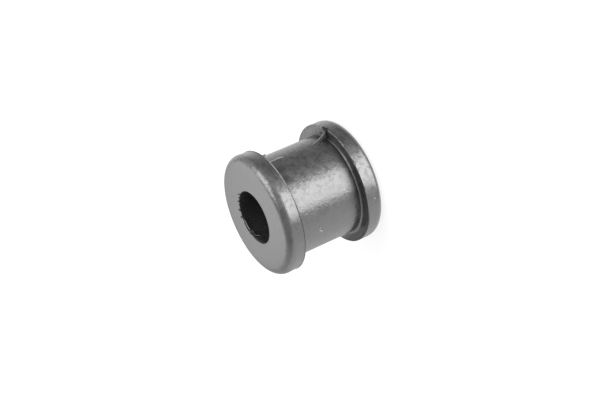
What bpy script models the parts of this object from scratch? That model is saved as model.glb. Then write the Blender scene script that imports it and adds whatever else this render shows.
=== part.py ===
"""Stabilizer bar bushing: one moulded rubber spool with a through bore.

It stands on the end face of its far flange, which lies on z = 0. The axis is Z.
Two rounded flanges carry a plain waist between them, and thin webs of moulding
flash are left in both inner corners, where the mould's parting line crosses them.
"""
import math

import bmesh
import bpy

MM = 0.001

# Sizes of the spool
LENGTH = 33.0 * MM
FLANGE_STEP = 3.2 * MM
FLANGE_THICKNESS = 5.75 * MM
WAIST_DIAMETER = 30.6 * MM
BORE_DIAMETER = 16.0 * MM

# Edges of the spool
OUTER_EDGE_RADIUS = 2.6 * MM
INNER_EDGE_RADIUS = 0.3 * MM
ROOT_FILLET_RADIUS = 0.45 * MM
MOUTH_EDGE_RADIUS = 0.4 * MM

# Webs of flash on the parting line, measured off the flange and above the waist
PARTING_ANGLE = math.radians(-34.5)
WEB_THICKNESS = 0.36 * MM
WEB_TIP_WIDTH = 1.05 * MM
WEB_ROOT_DEPTH = 0.8 * MM
FAR_WEB_NECK_WIDTH = 0.75 * MM
FAR_WEB_REACH = 4.9 * MM
FAR_WEB_HEIGHT = 1.0 * MM
NEAR_WEB_NECK_WIDTH = 0.3 * MM
NEAR_WEB_REACH = 6.7 * MM
NEAR_WEB_HEIGHT = 0.45 * MM

# Places along a web's free edge, as shares of its neck height, reach and height
NECK_HEIGHT_SHARE = 0.62
FAR_BEND_REACH_SHARE = 0.36
NEAR_BEND_REACH_SHARE = 0.12
BEND_HEIGHT_SHARE = 1.1
SHOULDER_REACH_SHARE = 0.68
SHOULDER_HEIGHT_SHARE = 0.75

# Fineness of the surfaces
TURN_STEPS = 96
OUTER_EDGE_STEPS = 8
INNER_EDGE_STEPS = 3
FILLET_STEPS = 4
WAIST_STEPS = 3
MOUTH_STEPS = 3
WEB_CURVE_STEPS = 4
MERGE_DISTANCE = 0.001 * MM
SHARP_ANGLE = math.radians(40.0)

# Rubber
RUBBER_COLOUR = (0.045, 0.045, 0.047, 1.0)
RUBBER_ROUGHNESS = 0.42


def clear_scene():
    for item in list(bpy.data.objects):
        bpy.data.objects.remove(item, do_unlink=True)


def new_collection(name):
    collection = bpy.data.collections.new(name)
    bpy.context.scene.collection.children.link(collection)
    return collection


def rubber_material():
    material = bpy.data.materials.new("black_rubber")
    material.use_nodes = True
    shader = material.node_tree.nodes["Principled BSDF"]
    shader.inputs["Base Color"].default_value = RUBBER_COLOUR
    shader.inputs["Roughness"].default_value = RUBBER_ROUGHNESS
    shader.inputs["Metallic"].default_value = 0.0
    return material


def arc(centre, radius, start, end, steps):
    """Points of an arc in the half plane of radius and height, from one angle to another."""
    points = []
    for step in range(steps + 1):
        angle = math.radians(start + (end - start) * step / steps)
        points.append((centre[0] + radius * math.cos(angle), centre[1] + radius * math.sin(angle)))
    return points


def mirrored(points):
    """The same outline for the lower half, in the order that carries on downwards."""
    return [(radius, LENGTH - height) for radius, height in reversed(points)]


def waist_rings(radius, top):
    """Places of the rings between a fillet's foot and the middle of the waist."""
    drop = (top - LENGTH / 2) / WAIST_STEPS
    return [(radius, top - drop * step) for step in range(1, WAIST_STEPS)]


def upper_half_profile():
    """Half outline from the bore's mouth over the end face and rim to the waist."""
    bore = BORE_DIAMETER / 2
    waist = WAIST_DIAMETER / 2
    rim = waist + FLANGE_STEP
    step = FLANGE_STEP
    under = LENGTH - FLANGE_THICKNESS
    fillet = min(ROOT_FILLET_RADIUS, step / 2)
    inner_edge = min(INNER_EDGE_RADIUS, step / 2, FLANGE_THICKNESS / 2)
    outer_edge = min(OUTER_EDGE_RADIUS, FLANGE_THICKNESS - inner_edge - MERGE_DISTANCE)
    mouth = MOUTH_EDGE_RADIUS
    return (
        arc((bore + mouth, LENGTH - mouth), mouth, 180, 90, MOUTH_STEPS)
        + arc((rim - outer_edge, LENGTH - outer_edge), outer_edge, 90, 0, OUTER_EDGE_STEPS)
        + arc((rim - inner_edge, under + inner_edge), inner_edge, 0, -90, INNER_EDGE_STEPS)
        + arc((waist + fillet, under - fillet), fillet, 90, 180, FILLET_STEPS)
        + waist_rings(waist, under - fillet)
    )


def spool_mesh():
    """The turned spool: its closed outline swept once round Z."""
    upper = upper_half_profile()
    outline = upper + mirrored(upper)
    mesh = bpy.data.meshes.new("spool_outline")
    edges = [(index, (index + 1) % len(outline)) for index in range(len(outline))]
    mesh.from_pydata([(radius, 0.0, height) for radius, height in outline], edges, [])
    turned = bpy.data.objects.new("spool_outline", mesh)
    bpy.context.scene.collection.objects.link(turned)
    turned.rotation_euler.z = PARTING_ANGLE + math.pi / TURN_STEPS
    screw = turned.modifiers.new("turn", "SCREW")
    screw.axis = "Z"
    screw.angle = 2 * math.pi
    screw.steps = TURN_STEPS
    screw.render_steps = TURN_STEPS
    screw.use_merge_vertices = True
    screw.merge_threshold = MERGE_DISTANCE
    return baked(turned, "bushing")


def web_outline(flange_face, away, neck_width, bend_share, reach, height):
    """Closed outline of a web, as places in the half plane of radius and height.

    The web starts at the rim, narrows to a neck, and sweeps out along the waist.
    away is 1 where the flange lies below the web and -1 where it lies above.
    """
    waist = WAIST_DIAMETER / 2
    rim = waist + FLANGE_STEP - INNER_EDGE_RADIUS / 2
    root = waist - WEB_ROOT_DEPTH
    neck = waist + (rim - waist) * NECK_HEIGHT_SHARE
    inside = flange_face - away * WEB_ROOT_DEPTH
    free_edge = [
        (rim, flange_face + away * WEB_TIP_WIDTH),
        (neck, flange_face + away * neck_width),
        (waist + height * BEND_HEIGHT_SHARE, flange_face + away * reach * bend_share),
        (waist + height * SHOULDER_HEIGHT_SHARE, flange_face + away * reach * SHOULDER_REACH_SHARE),
        (waist, flange_face + away * reach),
    ]
    buried = [(root, flange_face + away * reach), (root, inside), (rim, inside)]
    return free_edge, buried


def web(name, flange_face, away, neck_width, bend_share, reach, height):
    """A thin web of flash, standing in the parting plane and rooted in the rubber."""
    free_edge, buried = web_outline(flange_face, away, neck_width, bend_share, reach, height)
    outline = free_edge + buried
    curve = bpy.data.curves.new(name, "CURVE")
    curve.dimensions = "2D"
    curve.fill_mode = "BOTH"
    curve.extrude = WEB_THICKNESS / 2
    curve.resolution_u = WEB_CURVE_STEPS
    curve.render_resolution_u = WEB_CURVE_STEPS
    spline = curve.splines.new("BEZIER")
    spline.bezier_points.add(len(outline) - 1)
    for point, (radius, height_up) in zip(spline.bezier_points, outline):
        point.co = (radius, height_up, 0.0)
        point.handle_left_type = "VECTOR"
        point.handle_right_type = "VECTOR"
    for point in spline.bezier_points[1:len(free_edge) - 1]:
        point.handle_left_type = "AUTO"
        point.handle_right_type = "AUTO"
    spline.use_cyclic_u = True
    flat = bpy.data.objects.new(name, curve)
    bpy.context.scene.collection.objects.link(flat)
    flat.rotation_euler = (math.pi / 2, 0.0, PARTING_ANGLE)
    return baked(flat, name)


def baked(source, name):
    """Evaluated mesh of an object in world space, welded, with the object removed."""
    bpy.context.view_layer.update()
    evaluated = source.evaluated_get(bpy.context.evaluated_depsgraph_get())
    mesh = bpy.data.meshes.new_from_object(evaluated)
    mesh.name = name
    mesh.transform(source.matrix_world)
    bpy.data.objects.remove(source, do_unlink=True)
    work = bmesh.new()
    work.from_mesh(mesh)
    bmesh.ops.remove_doubles(work, verts=work.verts, dist=MERGE_DISTANCE)
    bmesh.ops.recalc_face_normals(work, faces=work.faces)
    work.to_mesh(mesh)
    work.free()
    return mesh


def place_tool(mesh, collection):
    tool = bpy.data.objects.new(mesh.name, mesh)
    tool.hide_render = True
    tool.display_type = "WIRE"
    collection.objects.link(tool)
    return tool


def build():
    clear_scene()
    parts = new_collection("stabilizer_bar_bushing")
    tools = new_collection("joining_shapes")

    mesh = spool_mesh()
    mesh.materials.append(rubber_material())
    mesh.shade_smooth()
    mesh.set_sharp_from_angle(angle=SHARP_ANGLE)
    bushing = bpy.data.objects.new("bushing", mesh)
    parts.objects.link(bushing)

    near_face = LENGTH - FLANGE_THICKNESS
    far_sizes = (FAR_WEB_NECK_WIDTH, FAR_BEND_REACH_SHARE, FAR_WEB_REACH, FAR_WEB_HEIGHT)
    near_sizes = (NEAR_WEB_NECK_WIDTH, NEAR_BEND_REACH_SHARE, NEAR_WEB_REACH, NEAR_WEB_HEIGHT)
    webs = [
        web("far_web", FLANGE_THICKNESS, 1, *far_sizes),
        web("near_web", near_face, -1, *near_sizes),
    ]
    for web_mesh in webs:
        joined = bushing.modifiers.new(web_mesh.name, "BOOLEAN")
        joined.operation = "UNION"
        joined.solver = "EXACT"
        joined.object = place_tool(web_mesh, tools)


build()
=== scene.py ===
"""Looks of the stabilizer bar bushing: rubber, torn bore mouth, flash, lights, floor and camera.

Angles round the axis are in degrees, counted from +X towards -Y, the camera's side.
Lengths in the tables of marks are in millimetres; everything handed to Blender is in metres.
"""
import math

import bmesh
import bpy
from mathutils import Matrix, Vector, noise


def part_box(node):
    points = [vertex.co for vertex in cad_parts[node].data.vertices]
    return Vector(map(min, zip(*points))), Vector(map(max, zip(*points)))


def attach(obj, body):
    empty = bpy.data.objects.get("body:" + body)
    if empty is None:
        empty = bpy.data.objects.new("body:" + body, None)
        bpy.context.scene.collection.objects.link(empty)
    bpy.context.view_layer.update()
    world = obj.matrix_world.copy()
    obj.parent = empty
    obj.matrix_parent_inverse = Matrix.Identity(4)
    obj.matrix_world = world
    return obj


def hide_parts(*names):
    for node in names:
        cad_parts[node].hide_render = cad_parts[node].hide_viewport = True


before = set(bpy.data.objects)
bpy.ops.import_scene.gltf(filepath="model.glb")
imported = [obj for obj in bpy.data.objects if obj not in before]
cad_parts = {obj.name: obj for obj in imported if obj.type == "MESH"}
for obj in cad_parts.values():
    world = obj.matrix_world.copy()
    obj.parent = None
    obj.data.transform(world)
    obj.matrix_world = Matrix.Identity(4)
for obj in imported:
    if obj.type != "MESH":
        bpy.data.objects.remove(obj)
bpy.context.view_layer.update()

MM = 0.001
PER_MM = 1000.0

# Sizes of the spool, as the solid has them
LOW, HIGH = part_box("bushing")
LENGTH = HIGH.z - LOW.z
WAIST_RADIUS = 15.3 * MM
RIM_RADIUS = 18.5 * MM
FLANGE_THICKNESS = 5.75 * MM
BORE_RADIUS = 8.0 * MM
OUTER_EDGE_RADIUS = 2.6 * MM
INNER_EDGE_RADIUS = 0.13 * MM
ROOT_FILLET_RADIUS = 0.45 * MM
MOUTH_EDGE_RADIUS = 0.3 * MM

# Lip of flash round the back edge of the near rim
RIM_LIP = 0.17 * MM
RIM_LIP_EDGE_RADIUS = 0.16 * MM
RIM_LIP_MARGIN = 0.1 * MM

# Where that lip is worn down: angle, half width in degrees, share worn off
LIP_WORN = (86.0, 14.0, 0.75)

# Fineness of the turned surface, round the axis in degrees and along the outline in steps
FINE_TURN = 0.45
PLAIN_TURN = 1.2
WEB_SIDE = (26.0, 46.0)
TORN_SIDE = (183.0, 349.0)
OUTER_EDGE_STEPS = 12
INNER_EDGE_STEPS = 4
FILLET_STEPS = 6
MOUTH_STEPS = 4
WAIST_STEPS = 10
RIM_STEPS = 3
RIM_LIP_STEPS = 3
FAR_RIM_STEPS = 2
CORNER_STEPS = 8
CORNER_RIM_REACH = 1.1 * MM
PLAIN_WALL_STEPS = 4
PLAIN_FACE_STEPS = 4
PLAIN_MOUTH_STEPS = 2
TORN_WALL_STEPS = 12
TORN_WALL_DEPTH = 3.0 * MM
TORN_FACE_STEPS = 12
TORN_FACE_REACH = 9.9 * MM

# Unevenness of the moulded skin, always inwards, and the low lip round the near mouth
SKIN_WAVE = 0.03 * MM
SKIN_WAVES_PER_METRE = 170.0
MOUTH_LIP_HEIGHT = 0.04 * MM
MOUTH_LIP_REACH = 0.6 * MM
FLAT_FOOT_HEIGHT = 0.5 * MM
FACING_UP = 0.9
FACE_MARGIN = 0.1 * MM

# Nicks in the near mouth: angle at the mouth, turn from there to the tip, half width, inner radius,
# outer radius, depth
NICKS = (
    (343.0, -13.0, 0.30, 8.00, 9.45, 1.0),
    (328.4, 0.0, 0.38, 8.00, 8.85, 0.9),
    (319.0, -5.5, 0.30, 8.00, 9.15, 0.9),
    (307.0, 3.0, 0.36, 8.00, 8.50, 0.6),
    (296.0, 0.0, 0.18, 8.00, 8.80, 1.1),
    (296.0, 0.0, 0.34, 8.12, 9.12, 2.0),
    (280.8, 0.0, 0.18, 8.00, 8.90, 1.1),
    (280.8, 0.0, 0.33, 8.32, 9.32, 2.0),
    (257.0, 0.0, 1.70, 8.02, 8.44, 1.3),
    (243.0, -2.0, 0.50, 8.00, 8.50, 0.8),
)

# How steep the sides of the open nicks are, and of the holes beside the mouth
NICK_SLOPE = 2.5
HOLE_SLOPE = 4.5

# How uneven a nick's outline is, and how fast that changes; the depth from which torn rubber shows
NICK_RAGGED = 0.3
NICK_WAVES_PER_DEGREE = 0.5
NICK_WAVES_PER_MM = 2.0
NICK_SEED = 9.0
NICK_SHOWS = 0.1 * MM

# Burrs that stand into the near mouth: angle, half width in degrees, height
BURRS = (
    (233.0, 9.0, 0.55),
    (219.0, 9.0, 0.50),
    (205.0, 11.0, 0.40),
    (303.0, 3.0, 0.14),
    (289.0, 3.5, 0.16),
    (272.0, 4.0, 0.25),
)
BURR_DEPTH = 0.7 * MM

# How uneven the burrs and the rest of the torn edge are, and the degrees over which tearing sets in
BURR_RAGGED = 0.7
TORN_EDGE_RELIEF = 0.1 * MM
TORN_EDGE_FADE = 8
BURR_WAVES_PER_DEGREE = 0.9
BURR_SEED = 4.0
SPIKE_SHARE = 0.6
SPIKES_PER_DEGREE = 2.6
SPIKE_SEED = 7.0

# Torn part of the bore wall: middle and half width in degrees, relief, and how fast that changes
TORN_WALL_MIDDLE = 232
TORN_WALL_HALF_WIDTH = 50
TORN_WALL_RELIEF = 0.22 * MM
TORN_WALL_WAVES_PER_DEGREE = 0.35
TORN_WALL_WAVES_PER_MM = 2.2
TORN_WALL_SEED = 3.0

# Torn slivers and strands: half width, half thickness, then places of angle, radius and depth below
# the near end face
SLIVERS = (
    (0.26, 0.05, (
        (276, 8.2, 0.35), (269, 7.65, 0.14), (261.5, 7.5, 0.1),
        (255, 7.4, 0.1), (250.5, 7.4, 0.1), (248.0, 7.8, 0.5),
    )),
    (0.12, 0.05, (
        (250, 8.1, 0.5), (247.5, 7.7, 0.2), (244.5, 7.75, 0.25), (241, 8.0, 0.35), (238, 8.5, 0.6),
    )),
    (0.09, 0.04, (
        (246, 7.7, 0.6), (242.5, 7.0, 0.35), (238, 7.0, 0.45), (235.5, 7.2, 0.55), (233, 7.8, 0.7),
    )),
    (0.06, 0.04, (
        (235, 7.7, 0.6), (227, 7.35, 0.7), (218.5, 6.75, 0.9), (212, 7.4, 1.3),
    )),
)

# Section of a sliver: its corners, size at the ends and how much it swells between, and unevenness
SLIVER_CORNERS = 8
SLIVER_CORNER_REACH = 1.08
SLIVER_END_SIZE = 0.55
SLIVER_SWELL = 0.45
SLIVER_RAGGED = 0.35
SLIVER_WAVES_PER_METRE = 2500
STRAND_STEPS = 6

# Webs of flash in the inner corners: which way they stand off the flange, drop of the tip below the
# rim, width at the tip and neck, place of the bend as a share of the reach, reach and height
PARTING_ANGLE = 34.5
FAR_WEB = {
    "way": 1, "tip_drop": 0.55, "tip_width": 0.62, "neck_width": 0.75,
    "bend_share": 0.42, "reach": 5.0, "height": 0.95,
}
NEAR_WEB = {
    "way": -1, "tip_drop": 0.15, "tip_width": 1.05, "neck_width": 0.3,
    "bend_share": 0.12, "reach": 6.7, "height": 0.45,
}
WEB_THICKNESS = 0.34
WEB_ROOT_DEPTH = 0.5
WEB_STEPS = 10

# Places along a web's free edge, and the share of that edge that lies over the flange
WEB_NECK_HEIGHT = 2.0
WEB_BEND_HEIGHT_SHARE = 1.1
WEB_SHOULDER_HEIGHT_SHARE = 0.75
WEB_SHOULDER_REACH_SHARE = 0.68
WEB_FLANGE_SHARE = 0.3

# Section of a web: share of the way from its root to its free edge, and share of its full thickness
WEB_SECTION = ((0.0, 1.0), (0.6, 0.95), (0.94, 0.9), (1.0, 0.6))

# Unevenness of a web: ragged and chipped free edge, and sway, each with its waves along the web
WEB_RAGGED = 0.10
WEB_RAGGED_WAVES = 16
WEB_RAGGED_SEED = 3.0
WEB_CHIPPED = 0.05
WEB_CHIPPED_WAVES = 45
WEB_CHIPPED_SEEDS = (2.0, 1.0)
WEB_SWAY = 0.10
WEB_SWAY_WAVES = 7
WEB_SWAY_SEED = 5.0
SHORTEST_WEB = 0.001

# Gouges beside the far web, in the rim's inner edge: angle, height off the flange's face, half
# width, half height, depth
GOUGES = (
    (34.6, 0.0, 0.60, 0.60, 0.85),
    (32.4, 0.0, 0.60, 0.50, 0.75),
    (29.8, 0.0, 0.70, 0.36, 0.50),
    (35.0, -0.5, 0.24, 0.45, 0.45),
    (62.0, 0.0, 0.9, 0.3, 0.14),
    (80.5, 0.0, 1.0, 0.4, 0.30),
    (106.0, 0.0, 1.2, 0.3, 0.12),
)

# Reach of the gouges inwards from the rim and up from the flange's face, how much further each one
# goes inwards than up, the share of its depth taken inwards and downwards, and the depth from which
# torn rubber shows
GOUGE_REACH_INWARD = 1.5 * MM
GOUGE_REACH_UP = 1.0 * MM
GOUGE_WIDENING = 1.4
GOUGE_SLANT = 0.7
GOUGE_SHOWS = 0.2 * MM

# Crumbs of lint and rubber on the skin: angle, depth below the near end face, radius, size
CRUMBS = (
    (308.5, 0.06, 11.6, 0.05),
    (309.5, 0.06, 10.1, 0.045),
    (250.8, 0.12, 7.22, 0.11),
    (109.2, 17.15, 15.3, 0.13),
    (105.5, 11.7, 15.3, 0.12),
    (142.6, 8.2, 15.35, 0.12),
    (154.0, 4.8, 18.5, 0.10),
    (118.3, 29.8, 18.5, 0.14),
    (58.0, 27.5, 18.4, 0.13),
)
CRUMB_FINENESS = 2
CRUMB_RAGGED = 0.45
CRUMB_WAVES = 1.7
CRUMB_SEED = 3.1

# Curved hair of lint on the waist: angle and depth below the near end face
HAIR = ((131.5, 12.7), (133.5, 12.4), (136.0, 12.7), (138.0, 13.6))
HAIR_RADIUS = 0.055 * MM
HAIR_LIFT = 0.02 * MM
HAIR_CORNERS = 6

# Materials of the piece, in the order of its slots
MOULDED, TORN, CRUMB, FLASH = range(4)

# Moulded rubber: dark and light colour, ends of its roughness, and what grain, streaks, scuff and the
# end faces add to that
MOULDED_IOR = 2.4
MOULDED_COLOURS = ((0.018, 0.018, 0.019), (0.036, 0.036, 0.037))
MOULDED_ROUGHNESS = (0.255, 0.315)
GRAIN_ROUGHNESS = 0.06
STREAK_ROUGHNESS = 0.2
SCUFF_ROUGHNESS = 0.15
FACE_ROUGHNESS = 0.055

# How mottle and grain mix in its shade, and what scuff and dust add to that
MOTTLE_SHADE = 0.6
GRAIN_SHADE = 0.4
SCUFF_SHADE = 1.5
DUST_SHADE = 2.0

# Its relief, and how much of the grain's relief the end faces, rims and far corner lack
GRAIN_RELIEF = 0.055 * MM
LUMP_RELIEF = 0.055 * MM
STREAK_RELIEF = 0.045 * MM
FACE_SMOOTHING = 0.88
RIM_SMOOTHING = 0.75
CORNER_SMOOTHING = 0.8

# Fineness along X, Y and Z of the streaks, which run round, and of the torn rubber's fibres, along Z
STREAK_FINENESS = (0.5, 0.5, 2.8)
FIBRE_FINENESS = (1.0, 1.0, 0.2)

# Levels of the noises between which each mark sets in
DUST_LEVELS = (0.66, 0.74)
SMUDGE_LEVELS = (0.46, 0.64)
SCUFF_LEVELS = (0.42, 0.6)
SHADE_LEVELS = (0.36, 0.64)
MOTTLE_LEVELS = (0.34, 0.66)

# Zones of the skin, from where each sets in to where it is full: distances from the middle of the
# length, radii, or heights
END_FACE_ZONE = (16.2, 16.45)
RIM_RADII = (17.4, 18.2)
WAIST_RADII = (16.1, 15.6)
FAR_CORNER_HEIGHTS = (8.6, 6.4)
FAR_CORNER_RADII = (17.9, 16.8)
FILLET_HEIGHTS = (6.4, 6.0)
WIDE_END_HEIGHTS = (10.6, 6.2)
NARROW_END_HEIGHTS = (7.5, 6.4)
ABOVE_FILLET_HEIGHTS = (6.05, 6.35)
OVER_FAR_RIM_HEIGHTS = (5.1, 5.7)
UNDER_FILLET_HEIGHTS = (6.3, 5.9)
FLANGE_FACE_RADII = (15.6, 16.2)

# Sides of the spool: the angle each one faces, and the distances that way between which it sets in
UPPER_SIDE = (40, 5, 14)
CORNER_SIDE = (35, 12.0, 14.2)
LIT_SIDE = (70, 5.0, 12.0)
LOWER_SIDE = (172, 12.0, 16.5)

# Gloss and colour taken as painted shade from the far corner's fillet, the end of the waist and the
# strip beside the
# # fillet, as painted shadow from the flange's lower face, and by smudges above
CORNER_PAINTED_SHADE = 0.65
WAIST_END_PAINTED_SHADE = 0.55
FILLET_SIDE_PAINTED_SHADE = 0.82
LOWER_FACE_PAINTED_SHADOW = 0.85
SMUDGE_DULLING = 0.35

# Patches of painted shade on the skin: angle, radius, height, reach, and how much of the gloss and
# colour they take
PAINTED_SHADE_PATCHES = (
    (37.0, 16.8, 6.0, 1.5, 0.95),
    (38.5, 15.4, 6.4, 1.4, 0.6),
    (35.2, 18.3, 5.3, 0.6, 0.95),
    (32.6, 18.0, 5.8, 0.7, 0.95),
    (30.0, 18.1, 5.8, 0.8, 0.95),
    (37.6, 18.4, 5.75, 0.7, 0.8),
    (24.0, 15.6, 5.9, 1.8, 0.6),
    (16.0, 15.6, 5.9, 1.8, 0.5),
    (42.0, 15.3, 8.6, 2.0, 0.3),
    (28.0, 18.5, 28.4, 2.4, 0.4),
    (66.0, 15.3, 25.4, 2.0, 0.5),
    (52.0, 15.3, 24.6, 1.8, 0.4),
)
PATCH_CORE = 0.5
FULL_GLOSS = 0.5

# Scuff on the near end face: its place as angle, radius and height, and its reach
SCUFF_PLACE = (309, 10.8, 33)
SCUFF_REACH = 2.6

# Torn rubber, flash and crumbs: colours, ends of the roughness, and relief
TORN_IOR = 1.45
TORN_COLOURS = ((0.012, 0.012, 0.012), (0.045, 0.045, 0.045))
TORN_ROUGHNESS = (0.55, 0.8)
TORN_RELIEF = 0.06 * MM
FLASH_IOR = 2.2
FLASH_COLOURS = ((0.06, 0.06, 0.061), (0.12, 0.12, 0.121))
FLASH_ROUGHNESS = (0.26, 0.4)
FLASH_RELIEF = 0.03 * MM
CRUMB_COLOURS = ((0.5, 0.5, 0.5), (0.85, 0.85, 0.85))
CRUMB_ROUGHNESS = (0.6, 0.8)
GRAIN_LEVELS = (0.3, 0.7)
TORN_GRAIN_LEVELS = (0.42, 0.75)
CRUMB_GRAIN_LEVELS = (0.35, 0.65)

# Soft lamps: name, azimuth, elevation, half width and half height as shares of the distance,
# brightness beside white, and distance in metres
SOFTBOXES = (
    ("key_softbox", -2, -42, 0.47, 0.62, 3.1, 0.6),
    ("side_softbox", 75, 55, 0.42, 0.40, 2.5, 0.6),
    ("back_fill", 158, -40, 0.80, 1.2, 0.5, 0.6),
    ("left_fill", -95, -18, 1.0, 0.8, 0.37, 0.6),
    ("face_fill", 159, 44, 0.5, 0.3, 0.92, 0.15),
)

# The room's light, and its uneven parts: azimuth, elevation, half width and softness in degrees, and
# share of light taken away
ROOM_LEVEL = 0.92
LOBES = (
    (90, -28, 27, 18, 0.52),
    (86, -70, 30, 20, 0.6),
    (-50, 41, 40, 12, 0.4),
    (-43, -45, 23, 12, 0.4),
    (0, -2, 35, 30, -0.4),
)

# Floor: half its width in metres, its own grey, and the glow that makes it white
FLOOR_HALF_WIDTH = 3.0
FLOOR_COLOUR = (0.3, 0.3, 0.3, 1)
FLOOR_GLOW = 0.8

# Camera, from the photograph's outline: millimetres, and a lens on a 36 mm wide sensor
CAMERA_PLACE = Vector((-0.64, -384.0, 191.0)) * MM
CAMERA_RIGHT = Vector((-0.4025, -0.3770, -0.8342))
CAMERA_UP = Vector((0.9154, -0.1657, -0.3668))
LENS_MM = 86.6
SENSOR_MM = 36.0


def around(angle, radius, height):
    """A point at an angle round the axis."""
    turn = math.radians(angle)
    return Vector((radius * math.cos(turn), -radius * math.sin(turn), height))


def arc(centre, radius, start, end, steps):
    """Points of an arc in the half plane of radius and height, from one angle to another."""
    points = []
    for step in range(steps + 1):
        angle = math.radians(start + (end - start) * step / steps)
        points.append((centre[0] + radius * math.cos(angle), centre[1] + radius * math.sin(angle)))
    return points


def between(start, end, steps):
    """Places strictly between two points of the outline."""
    places = []
    for step in range(1, steps):
        share = step / steps
        radius = start[0] + (end[0] - start[0]) * share
        places.append((radius, start[1] + (end[1] - start[1]) * share))
    return places


def flange_profile(edge_radius, rim):
    """Outline of the upper flange, from its rounded outer edge over the rim to the waist's middle."""
    under = LENGTH - FLANGE_THICKNESS
    outer_centre = (RIM_RADIUS - OUTER_EDGE_RADIUS, LENGTH - OUTER_EDGE_RADIUS)
    outer = arc(outer_centre, OUTER_EDGE_RADIUS, 90, 0, OUTER_EDGE_STEPS)
    inner_centre = (RIM_RADIUS - edge_radius, under + edge_radius)
    inner = arc(inner_centre, edge_radius, 0, -90, INNER_EDGE_STEPS)
    fillet_centre = (WAIST_RADIUS + ROOT_FILLET_RADIUS, under - ROOT_FILLET_RADIUS)
    fillet = arc(fillet_centre, ROOT_FILLET_RADIUS, 90, 180, FILLET_STEPS)
    face = between(inner[-1], fillet[0], CORNER_STEPS)
    waist = (WAIST_RADIUS, LENGTH / 2)
    return outer + rim + inner + face + fillet + between(fillet[-1], waist, WAIST_STEPS)


def near_rim():
    """The near rim's outline, which sinks a little before the lip of flash on its back edge."""
    under = LENGTH - FLANGE_THICKNESS
    start = (RIM_RADIUS, LENGTH - OUTER_EDGE_RADIUS)
    foot = (RIM_RADIUS - RIM_LIP, under + RIM_LIP_EDGE_RADIUS + RIM_LIP)
    before = (foot[0], foot[1] + RIM_LIP / 2)
    crest = (RIM_RADIUS, under + RIM_LIP_EDGE_RADIUS)
    return between(start, before, RIM_STEPS) + [before, foot] + between(foot, crest, RIM_LIP_STEPS)


def far_rim():
    """The far rim's outline, as if it were above, with close rings beside the inner edge."""
    edge = LENGTH - FLANGE_THICKNESS + INNER_EDGE_RADIUS
    start = (RIM_RADIUS, LENGTH - OUTER_EDGE_RADIUS)
    corner = (RIM_RADIUS, edge + CORNER_RIM_REACH)
    above = between(start, corner, FAR_RIM_STEPS)
    return above + [corner] + between(corner, (RIM_RADIUS, edge), CORNER_STEPS)


def mouth_profile(wall_steps, face_steps):
    """Outline from the middle of the bore wall over the mouth's edge to the end face."""
    centre = (BORE_RADIUS + MOUTH_EDGE_RADIUS, LENGTH - MOUTH_EDGE_RADIUS)
    mouth = arc(centre, MOUTH_EDGE_RADIUS, 180, 90, MOUTH_STEPS)
    middle = (BORE_RADIUS, LENGTH / 2)
    deep = (BORE_RADIUS, LENGTH - TORN_WALL_DEPTH)
    reached = (TORN_FACE_REACH, LENGTH)
    edge = (RIM_RADIUS - OUTER_EDGE_RADIUS, LENGTH)
    wall = between(middle, deep, PLAIN_WALL_STEPS) + [deep] + between(deep, mouth[0], wall_steps)
    face = between(mouth[-1], reached, face_steps) + [reached]
    return wall + mouth + face + between(reached, edge, PLAIN_FACE_STEPS)


def full_profile():
    """The section's closed outline, with close rings at the torn mouth and the far flange's corner."""
    near = mouth_profile(TORN_WALL_STEPS, TORN_FACE_STEPS)
    near += flange_profile(RIM_LIP_EDGE_RADIUS, near_rim())
    far = mouth_profile(PLAIN_MOUTH_STEPS, PLAIN_MOUTH_STEPS)
    far += flange_profile(INNER_EDGE_RADIUS, far_rim())
    lower = [(radius, LENGTH - height) for radius, height in reversed(far)]
    return [(BORE_RADIUS, LENGTH / 2)] + near + [(WAIST_RADIUS, LENGTH / 2)] + lower


def turn_angles():
    """Angles of the spool's segments, closer together beside the far web and at the torn mouth."""
    spans = (
        (WEB_SIDE[0], WEB_SIDE[1], FINE_TURN),
        (WEB_SIDE[1], TORN_SIDE[0], PLAIN_TURN),
        (TORN_SIDE[0], TORN_SIDE[1], FINE_TURN),
        (TORN_SIDE[1], WEB_SIDE[0] + 360, PLAIN_TURN),
    )
    angles = []
    for start, end, step in spans:
        count = round((end - start) / step)
        angles += [start + (end - start) * index / count for index in range(count)]
    return angles


def bump(distance):
    """1 at nought, falling smoothly to 0 at 1 and beyond."""
    return (1 - min(abs(distance), 1) ** 2) ** 2


def clamped(share):
    return min(max(share, 0), 1)


def apart(angle, other):
    """Difference of two angles, from -180 to 180."""
    return (angle - other + 180) % 360 - 180


def uneven(x, y, z):
    """Smooth noise about nought."""
    return noise.noise(Vector((x, y, z)))


def nick_depth(angle, radius):
    """How deep the nicks cut into the near face at a place on it."""
    depth = 0.0
    waves = uneven(angle * NICK_WAVES_PER_DEGREE, radius * PER_MM * NICK_WAVES_PER_MM, NICK_SEED)
    ragged = 1 + NICK_RAGGED * waves
    for foot, slant, half_width, inner, outer, cut in NICKS:
        along = max((radius / MM - inner) / (outer - inner), 0)
        off_middle = abs(math.radians(apart(angle, foot + slant * along))) * radius
        across = off_middle / (half_width * MM)
        if inner <= BORE_RADIUS / MM:
            share = NICK_SLOPE * (1 - (across + along) * ragged)
        else:
            share = HOLE_SLOPE * (1 - math.hypot(across, 2 * along - 1) * ragged)
        depth = max(depth, cut * MM * clamped(share))
    return depth


def burr_height(angle):
    """How far torn rubber stands into the mouth."""
    height = 0.0
    for centre, half_width, tall in BURRS:
        height += tall * MM * bump(apart(angle, centre) / half_width)
    start, end = TORN_SIDE
    inside = min(angle % 360 - start, end - angle % 360)
    waves = uneven(angle * BURR_WAVES_PER_DEGREE, 0.0, BURR_SEED)
    ragged = waves + SPIKE_SHARE * uneven(angle * SPIKES_PER_DEGREE, SPIKE_SEED, 0.0)
    torn_edge = clamped(inside / TORN_EDGE_FADE) * TORN_EDGE_RELIEF * ragged
    return height * (1 + BURR_RAGGED * ragged) + torn_edge


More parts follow.
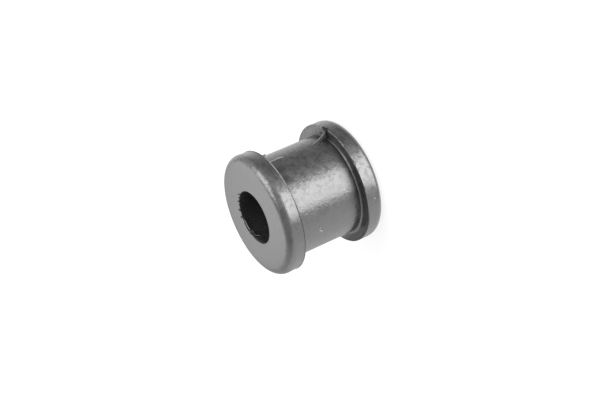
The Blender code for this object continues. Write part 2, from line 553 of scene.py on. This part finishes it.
def torn(angle, radius, height):
    """A vertex of the near mouth after tearing, and whether it is in the bore wall and in a nick."""
    below = LENGTH - height
    if below > TORN_WALL_DEPTH or radius > TORN_FACE_REACH:
        return radius, height, False, False
    fade = 1 - below / TORN_WALL_DEPTH
    depth = nick_depth(angle, radius)
    height -= depth * fade
    rise = min(below / BURR_DEPTH, 1)
    in_wall = radius < BORE_RADIUS + MOUTH_EDGE_RADIUS
    if in_wall:
        lean = (BORE_RADIUS + MOUTH_EDGE_RADIUS - radius) / MOUTH_EDGE_RADIUS
        deep = below * PER_MM * TORN_WALL_WAVES_PER_MM
        rough = uneven(angle * TORN_WALL_WAVES_PER_DEGREE, deep, TORN_WALL_SEED)
        wall_share = bump(apart(angle, TORN_WALL_MIDDLE) / TORN_WALL_HALF_WIDTH)
        burr = burr_height(angle) * lean * fade * rise
        radius -= burr + TORN_WALL_RELIEF * rough * wall_share * lean * rise
    return radius, height, in_wall, depth > NICK_SHOWS


def groove_fill(angle, radius, height):
    """How far the groove before the near rim's lip is filled, which is where the lip is worn down."""
    lowest = LENGTH - FLANGE_THICKNESS + RIM_LIP_MARGIN
    on_rim = lowest < height < LENGTH - OUTER_EDGE_RADIUS and radius > WAIST_RADIUS + MM
    if not on_rim:
        return 0.0
    centre, half_width, share = LIP_WORN
    worn = share * bump(apart(angle, centre) / half_width)
    return worn * (RIM_RADIUS - radius)


def gouged(angle, radius, height):
    """A vertex of the far flange after the gouges in its inner edge."""
    too_deep = radius < RIM_RADIUS - GOUGE_REACH_INWARD
    if too_deep or height > FLANGE_THICKNESS + GOUGE_REACH_UP:
        return radius, height
    sunk = 0.0
    for centre, off_face, half_width, half_height, depth in GOUGES:
        across = math.radians(apart(angle, centre)) * RIM_RADIUS / (half_width * MM)
        inward = (RIM_RADIUS - radius) / (GOUGE_WIDENING * half_height * MM)
        down = (height - FLANGE_THICKNESS - off_face * MM) / (half_height * MM)
        sunk = max(sunk, depth * MM * bump(across) * bump(inward) * bump(down))
    return radius - GOUGE_SLANT * sunk, height - GOUGE_SLANT * sunk


def spool(work):
    """The turned spool with its torn near mouth, its gouges and a slightly uneven skin."""
    angles = turn_angles()
    rings = []
    wall_verts = set()
    nick_verts = set()
    for radius, height in full_profile():
        ring = []
        for angle in angles:
            torn_radius, torn_height, in_wall, in_nick = torn(angle, radius, height)
            worn_radius = torn_radius + groove_fill(angle, torn_radius, torn_height)
            gouged_radius, gouged_height = gouged(angle, worn_radius, torn_height)
            vert = work.verts.new(around(angle, gouged_radius, gouged_height))
            if in_wall or radius < BORE_RADIUS + MOUTH_EDGE_RADIUS / 2:
                wall_verts.add(vert)
            if in_nick or gouged_height < torn_height - GOUGE_SHOWS:
                nick_verts.add(vert)
            ring.append(vert)
        rings.append(ring)
    for ring, lower in zip(rings, rings[1:] + rings[:1]):
        for index in range(len(angles)):
            following = (index + 1) % len(angles)
            face = work.faces.new((ring[index], ring[following], lower[following], lower[index]))
            in_wall = all(vert in wall_verts for vert in face.verts)
            in_nick = any(vert in nick_verts for vert in face.verts)
            face.material_index = TORN if in_wall or in_nick else MOULDED
    bmesh.ops.recalc_face_normals(work, faces=work.faces)
    work.normal_update()
    for vert in work.verts:
        vert.co -= vert.normal * skin_depth(vert)


def skin_depth(vert):
    """Slight unevenness of the skin, with a low lip at the near mouth and a flat foot to stand on."""
    if vert.co.z < FLAT_FOOT_HEIGHT:
        return 0.0
    radius = vert.co.xy.length
    wave = 0.5 + 0.5 * noise.noise(vert.co * SKIN_WAVES_PER_METRE)
    depth = SKIN_WAVE * wave * (radius > WAIST_RADIUS - MM)
    on_near_face = vert.normal.z > FACING_UP and vert.co.z > LENGTH - FACE_MARGIN
    if on_near_face and radius > BORE_RADIUS:
        past_edge = (radius - BORE_RADIUS - MOUTH_EDGE_RADIUS) / MOUTH_LIP_REACH
        return depth + MOUTH_LIP_HEIGHT * clamped(past_edge)
    return depth


def smooth_line(points, steps):
    """Points along a smooth curve through the given ones."""
    ends = [points[0]] + list(points) + [points[-1]]
    line = []
    for before, start, end, after in zip(ends, ends[1:], ends[2:], ends[3:]):
        for step in range(steps):
            t = step / steps
            line.append(0.5 * (
                2 * start + (end - before) * t + (2 * before - 5 * start + 4 * end - after) * t ** 2
                + (3 * start - before - 3 * end + after) * t ** 3
            ))
    return line + [points[-1]]


def direction(line, index):
    """Which way a line of points runs at one of them."""
    return (line[min(index + 1, len(line) - 1)] - line[max(index - 1, 0)]).normalized()


def loft(work, sections, material_index):
    """A closed skin through sections with the same number of points each; its caps come last."""
    rings = [[work.verts.new(place) for place in section] for section in sections]
    made = []
    for ring, following in zip(rings, rings[1:]):
        for index in range(len(ring)):
            other = (index + 1) % len(ring)
            corners = (ring[index], ring[other], following[other], following[index])
            made.append(work.faces.new(corners))
    made.append(work.faces.new(rings[0]))
    made.append(work.faces.new(rings[-1]))
    for face in made:
        face.material_index = material_index
    bmesh.ops.recalc_face_normals(work, faces=made)
    return made


def sliver(work, half_width, half_thickness, places):
    """A torn strip of skin with both ends in the rubber, or one end free where it runs out thin."""
    points = [around(angle, radius * MM, LENGTH - depth * MM) for angle, radius, depth in places]
    line = smooth_line(points, STRAND_STEPS)
    sections = []
    for index, centre in enumerate(line):
        along = direction(line, index)
        side = along.cross(Vector((0, 0, 1))).normalized()
        up = side.cross(along)
        swell = math.sin(math.pi * index / (len(line) - 1))
        ragged = SLIVER_RAGGED * noise.noise(centre * SLIVER_WAVES_PER_METRE)
        size = (SLIVER_END_SIZE + SLIVER_SWELL * swell) * (1 + ragged) * SLIVER_CORNER_REACH * MM
        section = []
        for corner in range(SLIVER_CORNERS):
            turn = math.radians(360 / SLIVER_CORNERS * (corner + 0.5))
            across = side * half_width * math.cos(turn)
            section.append(centre + (across + up * half_thickness * math.sin(turn)) * size)
        sections.append(section)
    loft(work, sections, FLASH)


def web(work, way, tip_drop, tip_width, neck_width, bend_share, reach, height):
    """A thin web of flash in the parting plane, from the rim down the flange and along the waist."""
    flange_face = FLANGE_THICKNESS if way > 0 else LENGTH - FLANGE_THICKNESS
    waist = WAIST_RADIUS / MM
    rim = RIM_RADIUS / MM - tip_drop
    root = waist - WEB_ROOT_DEPTH
    shoulder_height = WEB_SHOULDER_HEIGHT_SHARE * height
    edge = smooth_line([
        Vector((rim, tip_width)),
        Vector((waist + WEB_NECK_HEIGHT, neck_width)),
        Vector((waist + WEB_BEND_HEIGHT_SHARE * height, bend_share * reach)),
        Vector((waist + shoulder_height, WEB_SHOULDER_REACH_SHARE * reach)),
        Vector((waist, reach)),
    ], WEB_STEPS)
    sections = []
    for index, point in enumerate(edge):
        share = index / (len(edge) - 1)
        if share < WEB_FLANGE_SHARE:
            buried = Vector((rim + (root - rim) * share / WEB_FLANGE_SHARE, -WEB_ROOT_DEPTH))
        else:
            run = (share - WEB_FLANGE_SHARE) / (1 - WEB_FLANGE_SHARE)
            buried = Vector((root, -WEB_ROOT_DEPTH + (reach + WEB_ROOT_DEPTH) * run))
        if index not in (0, len(edge) - 1):
            ragged = WEB_RAGGED * uneven(share * WEB_RAGGED_WAVES, way * WEB_RAGGED_SEED, 0.0)
            chipped = WEB_CHIPPED * uneven(share * WEB_CHIPPED_WAVES, *WEB_CHIPPED_SEEDS)
            point = point + (point - buried).normalized() * (ragged + chipped)
        sway = WEB_SWAY * uneven(share * WEB_SWAY_WAVES, WEB_SWAY_SEED, way)
        side = []
        for reach_share, thick in WEB_SECTION:
            side.append((buried.lerp(point, reach_share), WEB_THICKNESS / 2 * thick))
        section = []
        for place, offset in side + [(place, -offset) for place, offset in reversed(side)]:
            up_edge = (place - buried).length / max((point - buried).length, SHORTEST_WEB)
            turn = PARTING_ANGLE + math.degrees((offset + sway * up_edge) / place.x)
            section.append(around(turn, place.x * MM, flange_face + way * place.y * MM))
        sections.append(section)
    faces = loft(work, sections, FLASH)
    tip_cap = faces[-2]
    tip_cap.material_index = TORN


def crumb(work, centre, size, seed):
    """A small lump that sits half in the skin."""
    made = bmesh.ops.create_icosphere(work, subdivisions=CRUMB_FINENESS, radius=size)
    for vert in made["verts"]:
        lump = noise.noise(vert.co.normalized() * CRUMB_WAVES + Vector((seed * CRUMB_SEED, 0, 0)))
        vert.co = vert.co * (1 + CRUMB_RAGGED * lump) + centre
    for face in {face for vert in made["verts"] for face in vert.link_faces}:
        face.material_index = CRUMB


def hair(work):
    """A short curved hair of lint lying on the waist."""
    radius = WAIST_RADIUS + HAIR_LIFT
    points = [around(angle, radius, LENGTH - depth * MM) for angle, depth in HAIR]
    line = smooth_line(points, STRAND_STEPS)
    sections = []
    for index, centre in enumerate(line):
        out = Vector((centre.x, centre.y, 0)).normalized()
        side = direction(line, index).cross(out).normalized()
        section = []
        for corner in range(HAIR_CORNERS):
            turn = math.radians(360 / HAIR_CORNERS * corner)
            section.append(centre + (side * math.cos(turn) + out * math.sin(turn)) * HAIR_RADIUS)
        sections.append(section)
    loft(work, sections, CRUMB)


def bushing_mesh():
    """The whole bushing: the spool, and the slivers, webs, crumbs and hair that sit in it."""
    work = bmesh.new()
    spool(work)
    for half_width, half_thickness, places in SLIVERS:
        sliver(work, half_width, half_thickness, places)
    web(work, **FAR_WEB)
    web(work, **NEAR_WEB)
    for seed, (angle, depth, radius, size) in enumerate(CRUMBS):
        crumb(work, around(angle, radius * MM, LENGTH - depth * MM), size * MM, seed)
    hair(work)
    mesh = bpy.data.meshes.new("bushing_rubber")
    work.to_mesh(mesh)
    work.free()
    mesh.shade_smooth()
    return mesh


class Nodes:
    """Short calls for building a node tree."""

    def __init__(self, tree):
        self.tree = tree
        tree.nodes.clear()

    def add(self, kind, **settings):
        node = self.tree.nodes.new(kind)
        for name, value in settings.items():
            setattr(node, name, value)
        return node

    def link(self, source, target):
        self.tree.links.new(source, target)

    def feed(self, socket, value):
        if hasattr(value, "is_output"):
            self.link(value, socket)
        else:
            socket.default_value = value

    def maths(self, operation, *values):
        node = self.add("ShaderNodeMath", operation=operation)
        for socket, value in zip(node.inputs, values):
            self.feed(socket, value)
        return node.outputs[0]

    def chain(self, operation, first, *others):
        """One operation over any number of values, from the first to the last."""
        for value in others:
            first = self.maths(operation, first, value)
        return first

    def times(self, *values):
        return self.chain("MULTIPLY", *values)

    def plus(self, *values):
        return self.chain("ADD", *values)

    def most(self, *values):
        return self.chain("MAXIMUM", *values)

    def rest_of_one(self, value):
        return self.maths("SUBTRACT", 1.0, value)

    def off_half(self, value):
        return self.maths("SUBTRACT", value, 0.5)

    def vector(self, operation, *values):
        node = self.add("ShaderNodeVectorMath", operation=operation)
        for socket, value in zip(node.inputs, values):
            self.feed(socket, value)
        gives_number = operation in ("DOT_PRODUCT", "LENGTH", "DISTANCE")
        return node.outputs["Value" if gives_number else "Vector"]

    def ramp(self, value, low, high, to_low=0.0, to_high=1.0):
        node = self.add("ShaderNodeMapRange", interpolation_type="SMOOTHSTEP")
        self.feed(node.inputs["Value"], value)
        self.feed(node.inputs["From Min"], low)
        self.feed(node.inputs["From Max"], high)
        self.feed(node.inputs["To Min"], to_low)
        self.feed(node.inputs["To Max"], to_high)
        return node.outputs["Result"]

    def noise(self, place, scale, detail=2.0, roughness=0.5):
        node = self.add("ShaderNodeTexNoise")
        self.feed(node.inputs["Vector"], place)
        self.feed(node.inputs["Scale"], scale)
        self.feed(node.inputs["Detail"], detail)
        self.feed(node.inputs["Roughness"], roughness)
        return node.outputs["Fac"]

    def colour(self, share, dark, light):
        node = self.add("ShaderNodeMix", data_type="RGBA")
        self.feed(node.inputs["Factor"], share)
        self.feed(node.inputs["A"], (*dark, 1))
        self.feed(node.inputs["B"], (*light, 1))
        return node.outputs["Result"]

    def millimetres(self):
        """Places on the object, in millimetres."""
        place = self.add("ShaderNodeTexCoord").outputs["Object"]
        return self.vector("MULTIPLY", place, (PER_MM, PER_MM, PER_MM))

    def relief(self, height, shader):
        """Relief of a height in metres, for a shader."""
        node = self.add("ShaderNodeBump")
        self.feed(node.inputs["Distance"], 1.0)
        self.feed(node.inputs["Height"], height)
        self.link(node.outputs["Normal"], shader.inputs["Normal"])


def new_surface(name):
    """A material, its node calls and its shader."""
    material = bpy.data.materials.new(name)
    material.use_nodes = True
    n = Nodes(material.node_tree)
    shader = n.add("ShaderNodeBsdfPrincipled")
    output = n.add("ShaderNodeOutputMaterial")
    n.link(shader.outputs["BSDF"], output.inputs["Surface"])
    return material, n, shader


def patch(n, place, ragged, centre, reach):
    """1 within a ragged round patch of the surface, falling to 0 at its edge."""
    distance = n.vector("DISTANCE", place, tuple(centre))
    distance = n.plus(distance, n.times(n.off_half(ragged), reach))
    return n.ramp(distance, reach, PATCH_CORE * reach)


def on_side(n, place, angle, start, full):
    """1 on the side of the spool that faces an angle, falling to 0 across it."""
    facing = tuple(around(angle, 1, 0))
    return n.ramp(n.vector("DOT_PRODUCT", place, facing), start, full)


def smudges_and_painted_shade(n, place, radius, height, smudge, upper_side):
    """Share of gloss and colour taken by smudges, and by painted shade at the far flange's corner, its
    lower face and patches.
    """
    on_waist = n.ramp(radius, *WAIST_RADII)
    smudged = n.times(n.ramp(smudge, *SMUDGE_LEVELS), upper_side, SMUDGE_DULLING)

    in_fillet = n.times(n.ramp(height, *FILLET_HEIGHTS), on_waist)
    # Painted shade in the far corner's fillet beside the web
    corner = n.times(in_fillet, on_side(n, place, *CORNER_SIDE), CORNER_PAINTED_SHADE)

    # Painted shade at the waist's far end, beside the far flange
    wide_end = n.times(n.ramp(height, *WIDE_END_HEIGHTS), WAIST_END_PAINTED_SHADE)
    narrow_end = n.times(n.ramp(height, *NARROW_END_HEIGHTS), FILLET_SIDE_PAINTED_SHADE)
    above_fillet = n.ramp(height, *ABOVE_FILLET_HEIGHTS)
    painted_waist_end_shade = n.times(n.most(wide_end, narrow_end), above_fillet, on_waist)
    painted_waist_end_shade = n.times(painted_waist_end_shade, on_side(n, place, *LIT_SIDE))

    far_face = n.times(n.ramp(height, *OVER_FAR_RIM_HEIGHTS), n.ramp(height, *UNDER_FILLET_HEIGHTS))
    far_face = n.times(far_face, n.ramp(radius, *FLANGE_FACE_RADII))
    # Painted shadow on the far flange's face, on its lower side
    painted_lower_shadow = n.times(far_face, on_side(n, place, *LOWER_SIDE), LOWER_FACE_PAINTED_SHADOW)

    dull_smudge_and_painted_shade = n.most(smudged, corner, painted_waist_end_shade, painted_lower_shadow)
    for angle, out, up, reach, depth in PAINTED_SHADE_PATCHES:
        marked = patch(n, place, smudge, around(angle, out, up), reach)
        dull_smudge_and_painted_shade = n.most(dull_smudge_and_painted_shade, n.times(marked, depth))
    return dull_smudge_and_painted_shade


def moulded_rubber():
    """Black satin rubber: grained on the waist, streaked round the rims, smooth on the end faces."""
    material, n, shader = new_surface("moulded_rubber")
    shader.inputs["IOR"].default_value = MOULDED_IOR
    place = n.millimetres()
    radius = n.vector("LENGTH", n.vector("MULTIPLY", place, (1, 1, 0)))
    height = n.vector("DOT_PRODUCT", place, (0, 0, 1))
    off_middle = n.maths("ABSOLUTE", n.maths("SUBTRACT", height, LENGTH / 2 * PER_MM))
    on_face = n.ramp(off_middle, *END_FACE_ZONE)
    on_rim = n.ramp(radius, *RIM_RADII)
    far_corner = n.times(n.ramp(height, *FAR_CORNER_HEIGHTS), n.ramp(radius, *FAR_CORNER_RADII))
    upper_side = n.times(on_side(n, place, *UPPER_SIDE), n.rest_of_one(on_face))

    grain = n.noise(place, scale=2.0, detail=2.0, roughness=0.6)
    lumps = n.noise(place, scale=0.9, detail=1.0, roughness=0.5)
    mottle = n.noise(place, scale=0.42, detail=3.0, roughness=0.55)
    smudge = n.noise(place, scale=0.8, detail=3.0, roughness=0.6)
    drawn_round = n.vector("MULTIPLY", place, STREAK_FINENESS)
    streaks = n.noise(drawn_round, scale=1.0, detail=3.0, roughness=0.6)
    dust = n.ramp(n.noise(place, scale=3.0, detail=1.0), *DUST_LEVELS)

    # Smudges and painted shade take gloss here and colour below
    dull_smudge_and_painted_shade = smudges_and_painted_shade(n, place, radius, height, smudge, upper_side)
    gloss = n.maths("SUBTRACT", FULL_GLOSS, n.times(dull_smudge_and_painted_shade, FULL_GLOSS))
    n.link(gloss, shader.inputs["Specular IOR Level"])

    scuff = patch(n, place, smudge, around(*SCUFF_PLACE), SCUFF_REACH)
    scuff = n.times(scuff, n.ramp(grain, *SCUFF_LEVELS))
    shade = n.plus(n.times(mottle, MOTTLE_SHADE), n.times(grain, GRAIN_SHADE))
    shade = n.plus(n.ramp(shade, *SHADE_LEVELS), n.times(scuff, SCUFF_SHADE))
    shade = n.plus(shade, n.times(dust, upper_side, DUST_SHADE))
    # Painted shade darkens the colour where the share is high
    mixed = n.colour(n.times(shade, n.rest_of_one(dull_smudge_and_painted_shade)), *MOULDED_COLOURS)
    mixed.node.clamp_factor = False
    n.link(mixed, shader.inputs["Base Color"])

    rough = n.plus(
        n.ramp(mottle, *MOTTLE_LEVELS, *MOULDED_ROUGHNESS),
        n.times(n.off_half(grain), GRAIN_ROUGHNESS),
        n.times(n.off_half(streaks), on_rim, STREAK_ROUGHNESS),
        n.times(scuff, SCUFF_ROUGHNESS),
        n.times(on_face, FACE_ROUGHNESS),
    )
    n.link(rough, shader.inputs["Roughness"])

    smooth = n.most(n.times(on_face, FACE_SMOOTHING), n.times(on_rim, RIM_SMOOTHING))
    grained = n.rest_of_one(n.most(smooth, n.times(far_corner, CORNER_SMOOTHING)))
    fine = n.times(grain, grained, GRAIN_RELIEF)
    streaked = n.times(streaks, on_rim, STREAK_RELIEF)
    coarse = n.times(lumps, grained, LUMP_RELIEF)
    n.relief(n.plus(fine, streaked, coarse), shader)
    return material


def torn_rubber():
    """Dull black rubber of the bore wall and the nicks, with a fibrous grain."""
    material, n, shader = new_surface("torn_rubber")
    shader.inputs["IOR"].default_value = TORN_IOR
    place = n.millimetres()
    grain = n.noise(place, scale=2.6, detail=4.0, roughness=0.65)
    drawn_down = n.vector("MULTIPLY", place, FIBRE_FINENESS)
    fibres = n.noise(drawn_down, scale=2.2, detail=3.0, roughness=0.6)
    colour = n.colour(n.ramp(grain, *TORN_GRAIN_LEVELS), *TORN_COLOURS)
    n.link(colour, shader.inputs["Base Color"])
    n.link(n.ramp(grain, *GRAIN_LEVELS, *TORN_ROUGHNESS), shader.inputs["Roughness"])
    n.relief(n.times(n.plus(grain, fibres), TORN_RELIEF), shader)
    return material


def flash_rubber():
    """Thin flash and torn slivers: smooth, and a little paler than the skin."""
    material, n, shader = new_surface("flash_rubber")
    shader.inputs["IOR"].default_value = FLASH_IOR
    grain = n.noise(n.millimetres(), scale=3.0, detail=2.0, roughness=0.6)
    n.link(n.colour(n.ramp(grain, *GRAIN_LEVELS), *FLASH_COLOURS), shader.inputs["Base Color"])
    n.link(n.ramp(grain, *GRAIN_LEVELS, *FLASH_ROUGHNESS), shader.inputs["Roughness"])
    n.relief(n.times(grain, FLASH_RELIEF), shader)
    return material


def crumb_rubber():
    """Pale crumbs of lint and rubber dust."""
    material, n, shader = new_surface("crumbs")
    grain = n.noise(n.millimetres(), scale=6.0, detail=2.0)
    colour = n.colour(n.ramp(grain, *CRUMB_GRAIN_LEVELS), *CRUMB_COLOURS)
    n.link(colour, shader.inputs["Base Color"])
    n.link(n.ramp(grain, *GRAIN_LEVELS, *CRUMB_ROUGHNESS), shader.inputs["Roughness"])
    return material


def aim(azimuth, elevation):
    """Direction from the object: azimuth from the camera's side towards +X, and elevation."""
    a = math.radians(azimuth)
    e = math.radians(elevation)
    return Vector((math.sin(a) * math.cos(e), -math.cos(a) * math.cos(e), math.sin(e)))


def softbox(name, azimuth, elevation, wide, tall, radiance, distance):
    """A soft lamp, with half widths as shares of its distance and its brightness beside white."""
    lamp = bpy.data.lights.new(name, "AREA")
    lamp.shape = "RECTANGLE"
    lamp.size = 2 * wide * distance
    lamp.size_y = 2 * tall * distance
    lamp.energy = radiance * math.pi * lamp.size * lamp.size_y
    item = bpy.data.objects.new(name, lamp)
    away = aim(azimuth, elevation)
    item.location = Vector((0, 0, LENGTH / 2)) + away * distance
    item.rotation_euler = away.to_track_quat("Z", "Y").to_euler()
    item.visible_camera = False
    bpy.context.scene.collection.objects.link(item)


def surroundings():
    """A pale room with dark sides; the camera sees plain white."""
    world = bpy.data.worlds.new("room")
    bpy.context.scene.world = world
    world.use_nodes = True
    n = Nodes(world.node_tree)
    place = n.add("ShaderNodeTexCoord").outputs["Generated"]
    level = ROOM_LEVEL
    for azimuth, elevation, wide, soft, depth in LOBES:
        facing = n.vector("DOT_PRODUCT", place, tuple(aim(azimuth, elevation)))
        edge_in = math.cos(math.radians(wide - soft))
        edge_out = math.cos(math.radians(wide + soft))
        inside = n.ramp(facing, edge_out, edge_in)
        level = n.times(level, n.rest_of_one(n.times(inside, depth)))
    seen = n.add("ShaderNodeLightPath").outputs["Is Camera Ray"]
    back = n.add("ShaderNodeBackground")
    n.link(n.plus(n.times(level, n.rest_of_one(seen)), seen), back.inputs["Strength"])
    output = n.add("ShaderNodeOutputWorld")
    n.link(back.outputs[0], output.inputs["Surface"])


def floor():
    """A white floor that takes the bushing's shadow and gives it no light of its own."""
    mesh = bpy.data.meshes.new("floor")
    work = bmesh.new()
    corners = []
    for x, y in ((-1, -1), (1, -1), (1, 1), (-1, 1)):
        corners.append(work.verts.new((x * FLOOR_HALF_WIDTH, y * FLOOR_HALF_WIDTH, 0)))
    work.faces.new(corners)
    work.to_mesh(mesh)
    work.free()
    item = bpy.data.objects.new("floor", mesh)
    bpy.context.scene.collection.objects.link(item)
    material = bpy.data.materials.new("floor")
    material.use_nodes = True
    n = Nodes(material.node_tree)
    diffuse = n.add("ShaderNodeBsdfDiffuse")
    diffuse.inputs["Color"].default_value = FLOOR_COLOUR
    glow = n.add("ShaderNodeEmission")
    glow.inputs["Strength"].default_value = FLOOR_GLOW
    both = n.add("ShaderNodeAddShader")
    n.link(diffuse.outputs[0], both.inputs[0])
    n.link(glow.outputs[0], both.inputs[1])
    output = n.add("ShaderNodeOutputMaterial")
    n.link(both.outputs[0], output.inputs["Surface"])
    mesh.materials.append(material)
    item.visible_diffuse = False
    item.visible_glossy = False
    item.visible_shadow = False


def camera():
    """The photograph's camera."""
    data = bpy.data.cameras.new("camera")
    data.lens = LENS_MM
    data.sensor_width = SENSOR_MM
    item = bpy.data.objects.new("camera", data)
    back = CAMERA_RIGHT.cross(CAMERA_UP)
    turn = Matrix((CAMERA_RIGHT, CAMERA_UP, back)).transposed().to_4x4()
    item.matrix_world = Matrix.Translation(CAMERA_PLACE) @ turn
    bpy.context.scene.collection.objects.link(item)
    bpy.context.scene.camera = item


bushing = bpy.data.objects.new("bushing_rubber", bushing_mesh())
bpy.context.scene.collection.objects.link(bushing)
for finish in (moulded_rubber(), torn_rubber(), crumb_rubber(), flash_rubber()):
    bushing.data.materials.append(finish)
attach(bushing, "root")
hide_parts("bushing")

surroundings()
for box in SOFTBOXES:
    softbox(*box)
floor()
camera()
bpy.context.scene.view_settings.view_transform = "Standard"
